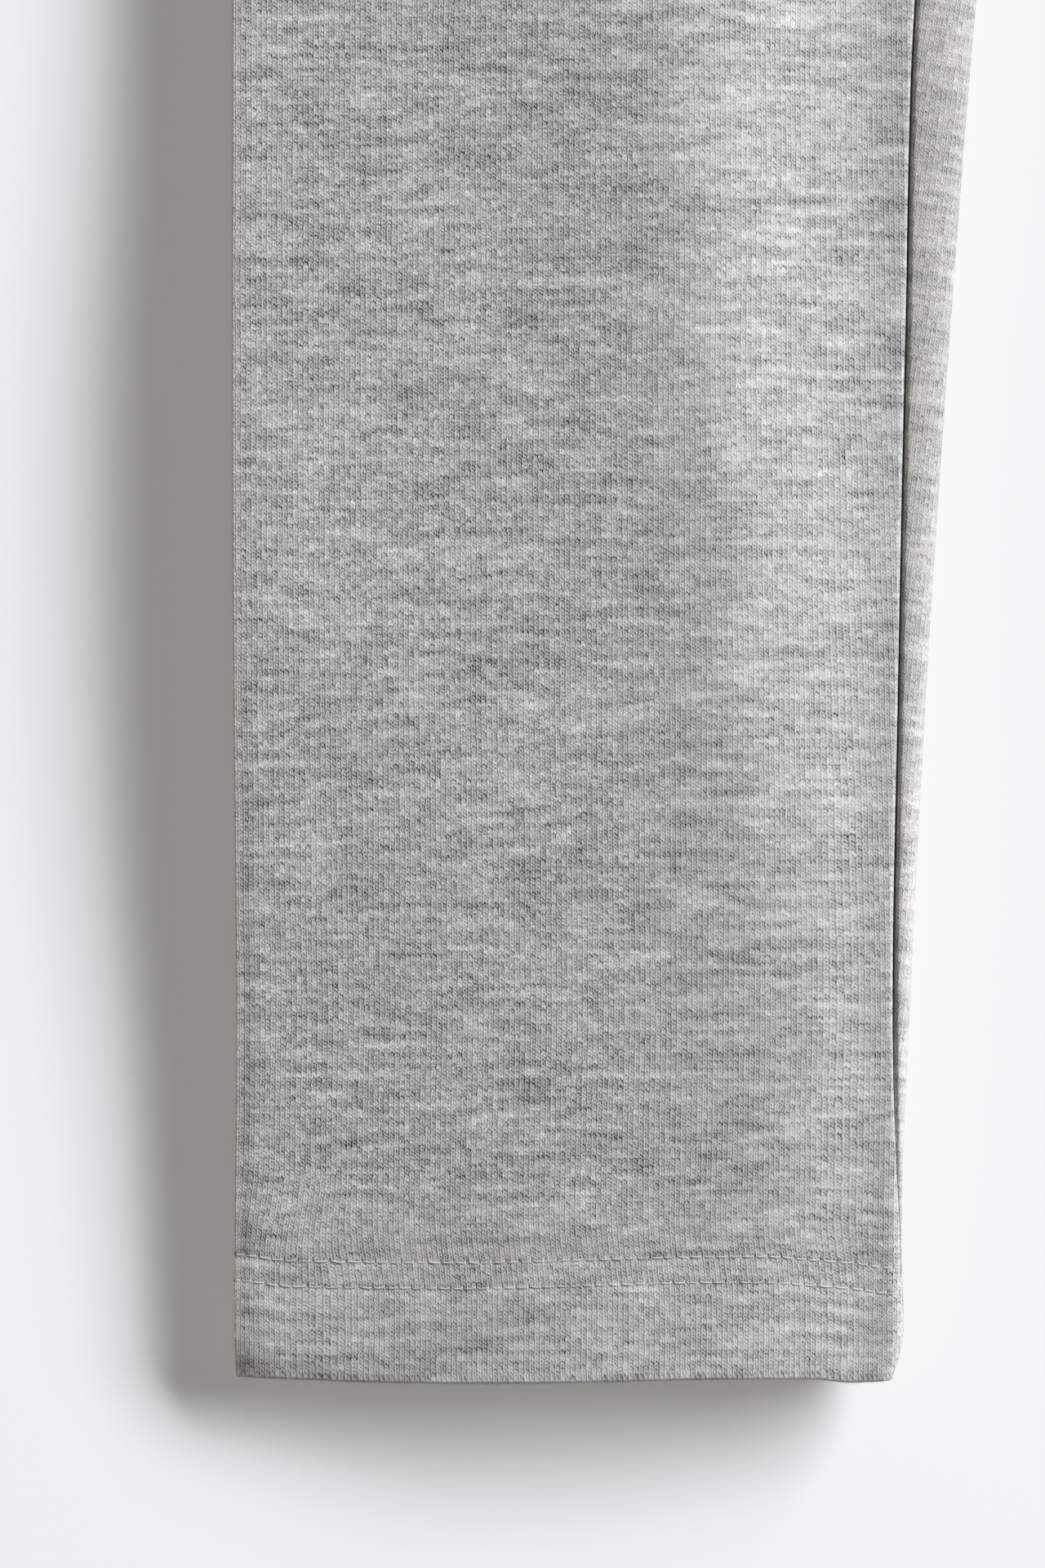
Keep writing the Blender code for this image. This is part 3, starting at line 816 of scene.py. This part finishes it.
def edge_painted_light_shares(along, heights, side):
    """How near each point of a leg is to its rolled edge and seam, where shade is painted, and to its
    folded edges and hem, where the fuzz smooths the loops and light and shade are painted, 0 to 1.
    """
    past_seam = np.maximum(along[:, :1] - along - PAINTED_SEAM_SHADE_TO, 0.0)
    roll = bell(along[:, [ROLL_COLUMN]] - along, PAINTED_ROLL_SHADE_WIDE)
    roll = roll + PAINTED_SEAM_SHADE * bell(past_seam, PAINTED_SEAM_SHADE_WIDE)
    fold = np.minimum(np.clip(1.0 - along / RIM_WIDE, 0.0, 1.0), 1.0 - ease(-along / RIM_UNDER))
    fold[:, ROLL_COLUMN:] = STRIP_RIM
    if side > 0:
        fold = fold * LIT_RIM
    hem = bell(heights - HEM_FOOT, HEM_RIM_WIDE)
    return np.stack([roll, np.maximum(fold, hem)], axis=-1)


def waist_tuck(up):
    """How far the cloth beside the waist seam turns in, at each height."""
    past = np.clip(1.0 - np.abs(up - WAIST_SEAM) / WAIST_TUCK_ROUND, 0.0, 1.0)
    return WAIST_TUCK * (1.0 - np.sqrt(1.0 - past**2))


def leg(name, side, folds, cloth):
    """One leg: its turned-up hem, the hem's turn and the leg itself, as one sheet of cloth."""
    radius = 0.5 * HEM_LAYERS
    turn = np.linspace(0.0, math.pi, HEM_TURN_STEPS + 1)
    out = np.sin(turn) ** HEM_TURN_SQUARE
    back = np.sign(np.cos(turn)) * np.abs(np.cos(turn)) ** HEM_TURN_SQUARE
    turned_up, rows = np.array(HEM_ROWS_UP), leg_rows()
    tucked = waist_tuck(rows)
    layers = []
    for depth_up, bend, depth_leg in (
        (HEM_LAYERS, radius, tucked),
        (HEM_LAYERS - WALL, radius - WALL, np.maximum(tucked + LEAST_WALL, WALL)),
    ):
        up = np.hstack([turned_up, radius - bend * out, rows])
        depth = np.hstack([np.full(len(turned_up), depth_up), radius + bend * back, depth_leg])
        layers.append(leg_points(up, depth, side, folds, on_face=depth_up == HEM_LAYERS))
    along = along_ring(layers[0])
    heights_of_turn = radius - radius * (math.pi - turn)
    heights = np.hstack([heights_of_turn[0] - turned_up, heights_of_turn, rows])[:, None]
    # The back's knit is turned where it rolls over the slanting inner edge.
    slant = 2.0 * np.gradient(section(rows).inner[:, 0], rows)
    slant = np.hstack([0.0 * turned_up, 0.0 * turn, slant])[:, None]
    rolled_over = np.maximum(along[:, [ROLL_COLUMN]] - along, 0.0)
    places = np.stack([along + knit_shift(layers[0]), heights + slant * rolled_over], axis=-1)
    edges = edge_painted_light_shares(along, heights, side)
    cloth_layers = {"cloth": np.vstack([places, places]), "edges": np.vstack([edges, edges])}
    faces = wall_faces(*along.shape).tolist()
    return new_mesh(name, np.vstack(layers), faces, cloth_layers, cloth, turned_out=side > 0)


def band_points(up, depth):
    """Points in metres round the waistband, with a row for each height up."""
    up, depth = up[:, None], depth[:, None]
    size = section(np.full(1, WAIST_SEAM))
    outer = size.outer + (BAND_TOP_HALF - size.outer) * (up - WAIST_SEAM) / BAND_HEIGHT
    size = size._replace(outer=outer, up=up)
    edge_across, edge_z = outer_edge(size, depth)
    flat_half = fold_place(size, depth)
    front = flat_half * np.linspace(1.0, -1.0, BAND_FRONT_STEPS + 1)
    front_height = front_z(size, np.maximum(np.abs(front), size.inner + depth + ROLL_LEAST), (), depth)
    front_height = front_height + gather_lift(WAIST_SEAM, front, flat_half)
    end = edge_across[:, -1:]
    back = end * np.linspace(-1.0, 1.0, 2 * BAND_BACK_STEPS + 1)[1:-1]
    back_height = depth + back_lift(WAIST_SEAM, back, end)
    across = np.hstack([front, -edge_across, back, edge_across[:, ::-1]])
    z = np.hstack([front_height, edge_z, back_height, edge_z[:, ::-1]])
    runs = (front.shape[1] + SHOULDER_STEPS, back.shape[1] + 2 * UNDER_STEPS, SHOULDER_STEPS)
    on_front = np.repeat([True, False, True], runs)
    y = up + UP_TO_Y + waist_lift(outer - depth, WAIST_SEAM, np.abs(across), on_front)
    return np.stack([across, y, z], axis=-1) * MM


def waistband(name, cloth):
    """The band: outer face, rounded top and inner face, as one closed loop of folded cloth."""
    foot = WAIST_SEAM + SEAM_GAP
    radius = 0.5 * BAND_WALL
    shoulder = WAIST_SEAM + BAND_HEIGHT - radius
    rounding = np.linspace(0.0, 0.5 * math.pi, BAND_FOOT_STEPS + 1)
    turn = np.linspace(0.0, math.pi, BAND_TURN_STEPS + 1)
    face = between(foot + BAND_FOOT, shoulder, BAND_ROWS)[:-1]
    foot_up = foot + BAND_FOOT * (1.0 - np.cos(rounding))
    foot_depth = BAND_FOOT * (1.0 - np.sin(rounding))
    top, top_depth = shoulder + radius * np.sin(turn), radius * (1.0 - np.cos(turn))
    lining_depth = BAND_WALL - np.hstack([0.0 * face, foot_depth[::-1]])
    up = np.hstack([foot_up, face, top, face[::-1], foot_up[::-1]])
    depth = np.hstack([foot_depth, 0.0 * face, top_depth, lining_depth])
    points = band_points(up, depth)
    # The first column and row come again at the end, for their places in the flat cloth.
    points = np.vstack([points, points[:1]])
    points = np.hstack([points, points[:, :1]])
    along = travelled(points)
    climb = np.cumsum([0.0, *np.hypot(np.diff(up), np.diff(depth)), BAND_WALL])
    places = np.stack([along, 0.0 * along + foot + climb[:, None]], axis=-1)
    faces = quads(np.arange(along.size).reshape(along.shape)).tolist()
    layers = {"cloth": places, "edges": 0.0 * places}
    piece = new_mesh(name, points, faces, layers, cloth, turned_out=False)
    joined = bmesh.new()
    joined.from_mesh(piece.data)
    bmesh.ops.remove_doubles(joined, verts=joined.verts, dist=MERGE_DISTANCE)
    joined.to_mesh(piece.data)
    joined.free()
    return piece


def stitch_row(up, phase, side, folds, rng):
    """Rings round each stitch of a row, in metres: stitches x rings x sides x xyz."""
    ring = leg_points(np.full(1, up), np.zeros(1), side, folds)
    known = (along_ring(ring) + knit_shift(ring))[0]
    last, first = known[0], known[-1]
    numbers = np.arange(math.ceil(first / STITCH_PITCH), math.floor(last / STITCH_PITCH))
    middles = (numbers + 0.5) * STITCH_PITCH + phase
    middles = middles[(middles > first + STITCH_PITCH) & (middles < last - 0.5 * STITCH_PITCH)]
    each = (len(middles), 1)
    share, lift, aside, thick = np.array(STITCH_STAGES).T
    length = STITCH_LENGTH * rng.uniform(*STITCH_LONGER, each)
    tilt = rng.normal(*STITCH_TILT, each)
    rise = THREAD_RISE * rng.uniform(*STITCH_HIGHER, each)
    place = middles[:, None] + (share - 0.5) * length + rng.normal(0.0, STITCH_STRAY, each)
    thick = thick * rng.uniform(*THREAD_THICKER, each)
    lift = rise + THREAD_RISE * (lift - 1.0)
    aside = aside + tilt * (share - 0.5) * length
    order = np.argsort(known)
    centre, ahead = (
        points_along(at, known[order], ring[0, order] / MM) for at in (place, place + STITCH_AHEAD)
    )
    upward = np.array([0.0, 1.0, 0.0])
    outward = np.cross(unit(ahead - centre), upward) * -side
    centre = centre + outward * lift[..., None] + upward * aside[..., None]
    # Each ring stands square to the thread's own path.
    path = unit(np.gradient(centre, axis=1))
    sideways = unit(np.cross(outward, path))
    normal = np.cross(path, sideways)
    turns = 2.0 * math.pi * np.arange(THREAD_SIDES) / THREAD_SIDES
    wide, tall = np.cos(turns) * 0.5 * THREAD_WIDE, np.sin(turns) * 0.5 * THREAD_TALL
    spread = sideways[..., None, :] * wide[:, None] + normal[..., None, :] * tall[:, None]
    return (centre[..., None, :] + spread * thick[..., None, None]) * MM


def stitches(name, side, folds, thread):
    """The two rows of stitches round a hem, as one mesh."""
    rng = np.random.default_rng(STITCH_SEED + side)
    rows = [stitch_row(up, phase, side, folds, rng) for up, phase in zip(STITCH_ROWS_UP, STITCH_PHASES)]
    points = np.vstack(rows)
    stitch, ring, turn = np.indices(points.shape[:3])
    count, rings, sides = points.shape[:3]
    numbers = np.arange(rings * sides).reshape(rings, sides)
    tube = quads(np.hstack([numbers, numbers[:, :1]]))
    caps = np.array([numbers[0, ::-1], numbers[-1]])
    first = np.arange(count)[:, None, None] * numbers.size
    faces = (first + tube).reshape(-1, 4).tolist() + (first + caps).reshape(-1, sides).tolist()
    places = np.stack([(ring / rings + stitch) * STITCH_PITCH, turn / sides], axis=-1)
    return new_mesh(name, points, faces, {"cloth": places}, thread)


def fuzz_line(name, start, end, side, folds):
    """Points along an edge of the leg, in metres, and the way in which its fibres stand out."""
    if name == "hem":
        foot = leg_points(np.zeros(1), np.full(1, 0.5 * HEM_LAYERS), side, folds)[0]
        return foot[:ROLL_COLUMN], np.array([0.0, -1.0, 0.0])
    ring = leg_points(np.arange(start, end, FUZZ_STEP), np.zeros(1), side, folds)
    if name == "fold":
        return ring[:, FOLD_COLUMN], np.array([side, 0.0, 0.0])
    return ring[:, ROLL_COLUMN], np.array([-side, 0.0, 0.0])


def fuzz(name, side, folds, fibre):
    """The fibres along a leg's edges, as one mesh of thin bent cones."""
    rng = np.random.default_rng(FUZZ_SEED + side)
    turns = 2.0 * math.pi * np.arange(FIBRE_SIDES)[:, None] / FIBRE_SIDES
    cones = []
    for *line, density, length in FUZZ:
        edge, out = fuzz_line(*line, side, folds)
        known = travelled(edge)
        count = int(known[-1] * density)
        foot = points_along(np.sort(rng.uniform(0.0, known[-1], count)), known, edge)
        foot[:, 2] += rng.uniform(-FUZZ_SPREAD, 0.5 * FUZZ_SPREAD, count) * MM
        way = unit(out + rng.normal(0.0, FUZZ_STRAY, (count, 3)))
        long = length * rng.uniform(*FUZZ_LONGER, (count, 1)) * MM
        bend = rng.normal(0.0, FUZZ_BEND, (count, 3)) * long
        aside = unit(np.cross(way, rng.normal(0.0, 1.0, (count, 3)))) * 0.5 * FUZZ_THICK * MM
        across = np.cross(way, aside)
        ring = aside[:, None] * np.cos(turns) + across[:, None] * np.sin(turns)
        root = (foot - FUZZ_ROOT * long * out)[:, None] + ring
        middle = (foot + 0.5 * long * way + bend)[:, None] + FUZZ_MIDDLE_THICK * ring
        tip = (foot + long * way)[:, None]
        cones.append(np.hstack([root, middle, tip]))
    points = np.vstack(cones)
    count, corners = points.shape[:2]
    faces = (np.array(FIBRE_FACES) + corners * np.arange(count)[:, None, None]).reshape(-1, 3).tolist()
    layers = {"fibre": np.stack(np.indices((count, corners)), axis=-1)}
    return new_mesh(name, points, faces, layers, fibre)


def knit(tree, u, v):
    """Height of the loops, 0 to 1, and the course, where u counts wales and v courses."""
    across = tree.math("FRACT", u)
    left = tree.bell(tree.off_centre(u), LEFT_WIDE)
    climb = tree.math("FRACT", v - RIGHT_FOOT)
    right = tree.bell(across - RIGHT_PLACE + (climb - 0.5) * RIGHT_SLANT, RIGHT_WIDE)
    right = right * (tree.math("SINE", climb * math.pi) * (1.0 - RIGHT_LEAST) + RIGHT_LEAST)
    head = tree.bell(across - HEAD_PLACE, HEAD_WIDE)
    head = head * tree.bell(tree.off_centre(v, HEAD_UP - 1.0), HEAD_TALL) * HEAD_HIGH
    peak = abs(tree.off_centre(u, COURSE_PEAK)) * 2.0
    course = tree.math("FLOOR", v + peak * COURSE_CLIMB)
    return tree.math("MAXIMUM", tree.math("MAXIMUM", left, right), head), course


def jersey():
    """Light grey marl jersey: loops, streaky yarn and stitch holes, with painted shade between the
    loops, in the holes and at the edges, and a painted highlight on the folded edges.
    """
    tree = Tree("light_grey_marl_jersey")
    along, height = tree.place("cloth")
    along = along + tree.noise(3, along / WALE_WAVE[0], height / WALE_WAVE[1]) * KNIT_STRAY
    height = height + tree.noise(5, along / COURSE_WAVE[0], height / COURSE_WAVE[1]) * KNIT_STRAY
    aside, above = (
        tree.noise(seed, along / LOOP_LENGTH, height / LOOP_LENGTH) * LOOP_STRAY for seed in (37, 43)
    )
    loops, course = knit(tree, (along + aside) / WALE, (height + above) / COURSE)
    wale = tree.math("FLOOR", along / WALE + (0.5 - COURSE_PEAK))

    shuffle = tree.white(7, course) * YARN_SHUFFLE
    long_yarn, short_yarn = (along / length + shuffle for length in (YARN_LENGTH, YARN_SHORT))
    yarn = tree.noise(11, long_yarn) + tree.noise(13, short_yarn) * YARN_SHORT_SHARE
    streak = tree.noise(17, along / STREAK_LENGTH, height / STREAK_HEIGHT)
    cloud = tree.noise(19, along / CLOUD_LENGTH, height / CLOUD_HEIGHT)
    crisp = tree.ease(along, *CRISP_AFTER) * (1.0 - tree.ease(along, *CRISP_TO))
    crisp = crisp * tree.ease(height, *CRISP_FROM)
    crisper = crisp * CRISP_SPECK + 1.0
    speck, gap_speck = ((tree.white(seed, wale, course) - 0.5) * crisper for seed in (23, 47))
    fibres = tree.noise(41, along / FIBRE_SIZE, height / FIBRE_SIZE) * FIBRE_DEPTH
    fibres = fibres * (crisp * CRISP_FIBRE + 1.0)
    marl = yarn * YARN_DEPTH + streak * STREAK_DEPTH + cloud * CLOUD_DEPTH + speck * SPECK_DEPTH
    # Painted shade in the gaps between the loops
    painted_gap_shade = (crisp * CRISP_GAP + 1.0) * GAP_PAINTED_SHADE - marl * GAP_MARL + gap_speck * GAP_SPECK
    gaps = (1.0 - loops) * painted_gap_shade

    # The stitch holes sink the bump and get painted shade
    holes = 0.0
    for up, phase in zip(STITCH_ROWS_UP, STITCH_PHASES):
        beside = abs(tree.off_centre((along - phase) / STITCH_PITCH)) * STITCH_PITCH
        above = abs(height - (up + HOLE_ABOVE))
        hole = (1.0 - tree.ease(beside, *HOLE_HALF_WIDTH)) * (1.0 - tree.ease(above, *HOLE_HALF_HEIGHT))
        holes = hole + holes

    # Where shade is painted near the rolled edge and seam, and where fuzz, painted highlight, painted
    # shade and painted tint go near the folded edges and hem
    roll, rim_fuzz_and_painted_light = tree.place("edges")
    gaps = gaps * (1.0 - rim_fuzz_and_painted_light * RIM_SMOOTH)
    pale = (1.0 - tree.ease(height, *HEM_PALE_TO)) * HEM_PALE + 1.0
    # Painted highlight on the very edge and painted shade beside it
    painted_rim_light_and_shade = rim_fuzz_and_painted_light**RIM_SHARP * PAINTED_RIM_HIGHLIGHT - rim_fuzz_and_painted_light * PAINTED_RIM_SHADE + 1.0
    light = (1.0 - roll * PAINTED_ROLL_SHADE) * painted_rim_light_and_shade * pale * CLOTH_ALBEDO
    grey = (marl * STRAND_MARL + fibres + 1.0) * (1.0 - gaps) * (1.0 - holes * HOLE_PAINTED_SHADE) * light
    much = 1.0 - tree.ease(height, *TINT_FADE) * (1.0 - TINT_LEAST)
    blue = (tree.noise(29, short_yarn) * TINT_BLUE + TINT_COOL) * much + rim_fuzz_and_painted_light * PAINTED_RIM_BLUE
    red = (tree.noise(53, long_yarn) * TINT_RED + TINT_WARM) * much + rim_fuzz_and_painted_light * PAINTED_RIM_RED
    red, blue = grey * (red + CLOTH_RED), grey * (blue + CLOTH_BLUE)
    return tree.made(
        Base_Color=tree.node("CombineColor", Red=red, Green=grey, Blue=blue),
        Normal=tree.node("Bump", Strength=1.0, Distance=LOOP_RELIEF * MM, Height=loops - holes),
        Roughness=0.95,
        Specular_IOR_Level=0.15,
        Sheen_Weight=0.25,
        Sheen_Roughness=0.6,
    )


def sewing_thread():
    """Off-white polyester thread with the ridges of its twist, in its bump and as painted shade in its
    grooves.
    """
    tree = Tree("off_white_thread")
    along, turn = tree.place("cloth")
    ply = tree.math("SINE", (along / TWIST_PITCH + turn * PLIES) * (2.0 * math.pi))
    stitch = tree.white(59, tree.math("FLOOR", along / STITCH_PITCH)) - 0.5
    grain = tree.noise(31, along * THREAD_GRAIN, turn * THREAD_GRAIN)
    # Painted shade of the twist, random grain and unevenly bright stitches
    light = ply * PLY_SHADE + grain * GRAIN_SHADE + stitch * THREAD_UNEVEN + 1.0
    bump = tree.node("Bump", Strength=PLY_STRENGTH, Distance=PLY_RELIEF * MM, Height=ply)
    colour = tree.tinted(THREAD_COLOUR, light)
    return tree.made(Base_Color=colour, Normal=bump, Roughness=0.8, Specular_IOR_Level=0.25)


def loose_fibre():
    """The cotton fibres of the fuzz, some paler than others."""
    tree = Tree("loose_fibre")
    fibre, corner = tree.place("fibre")
    single = tree.white(61, tree.math("FLOOR", fibre + 0.5))
    light = single * FUZZ_UNEVEN + corner * FUZZ_TIP_PALE + FUZZ_LEAST
    return tree.made(Base_Color=tree.tinted(FUZZ_COLOUR, light), Roughness=0.95, Specular_IOR_Level=0.1)


def floor():
    """The plain pale surface that the garment lies on."""
    bpy.ops.mesh.primitive_plane_add(size=FLOOR_SIZE, location=(0.0, 0.0, -FLOOR_DROP))
    piece = bpy.context.object
    piece.name = "floor"
    colour = (*FLOOR_COLOUR, 1.0)
    surface = Tree("pale_surface").made(Base_Color=colour, Roughness=0.9, Specular_IOR_Level=0.1)
    piece.data.materials.append(surface)
    return piece


def lamp(name, shape, sizes, power, colour, offset):
    """An area lamp, offset from the middle of the picture."""
    data = bpy.data.lights.new(name, "AREA")
    data.shape = shape
    data.size, data.size_y = sizes
    data.energy = power
    data.color = colour
    piece = add_object(name, data)
    piece.location = Vector((PHOTO_CENTRE_X, PHOTO_CENTRE_Y, CLOTH_LEVEL)) * MM + offset
    return piece


def lights():
    """A large soft key from the upper right, and an even fill from all round."""
    elevation, azimuth = math.radians(KEY_ELEVATION), math.radians(KEY_AZIMUTH)
    flat = math.cos(elevation)
    towards = Vector((flat * math.cos(azimuth), flat * math.sin(azimuth), math.sin(elevation)))
    key = lamp("key", "RECTANGLE", (KEY_WIDE, KEY_TALL), KEY_POWER, KEY_COLOUR, towards * KEY_DISTANCE)
    key.rotation_euler = towards.to_track_quat("Z", "Y").to_euler()
    lamp("top", "DISK", (TOP_SIZE, TOP_SIZE), TOP_POWER, FILL_COLOUR, Vector((0.0, 0.0, TOP_HEIGHT)))
    world = bpy.data.worlds.new("studio")
    world.use_nodes = True
    backdrop = world.node_tree.nodes["Background"]
    backdrop.inputs["Color"].default_value = (*FILL_COLOUR, 1.0)
    backdrop.inputs["Strength"].default_value = FILL_STRENGTH
    bpy.context.scene.world = world


def camera():
    """Straight above the hem of the right leg, with the picture's top towards the waist."""
    data = bpy.data.cameras.new("camera")
    data.lens = CAMERA_LENS
    data.sensor_width = CAMERA_SENSOR
    above = CLOTH_LEVEL + PHOTO_TALL * PHOTO_MM_PER_PIXEL * CAMERA_LENS / CAMERA_SENSOR
    piece = add_object("camera", data)
    piece.location = Vector((PHOTO_CENTRE_X, PHOTO_CENTRE_Y, above)) * MM
    bpy.context.scene.camera = piece


def film():
    """Plain colours, with highlights that level off below pure white."""
    view = bpy.context.scene.view_settings
    view.view_transform = "Standard"
    view.use_curve_mapping = True
    points = view.curve_mapping.curves[3].points
    points[0].location, points[1].location = HIGHLIGHTS[0], HIGHLIGHTS[-1]
    for found, wanted in HIGHLIGHTS[1:-1]:
        points.new(found, wanted)
    view.curve_mapping.update()


def main():
    film()
    camera()
    lights()
    surface = floor()
    cloth, thread, fibre = jersey(), sewing_thread(), loose_fibre()
    for side, side_name, folds in ((-1, "right", RIGHT_FOLDS), (1, "left", LEFT_FOLDS)):
        piece = leg(side_name + "_leg_cloth", side, folds, cloth)
        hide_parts(side_name + "_leg")
        sewing = stitches(side_name + "_hem_stitches", side, folds, thread)
        edges = fuzz(side_name + "_edge_fuzz", side, folds, fibre)
        for part, slot in ((piece, "marl_jersey"), (sewing, "thread"), (edges, "marl_jersey")):
            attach(part, "root")
    band = waistband("waistband_cloth", cloth)
    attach(band, "root")
    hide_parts("waistband")


main()
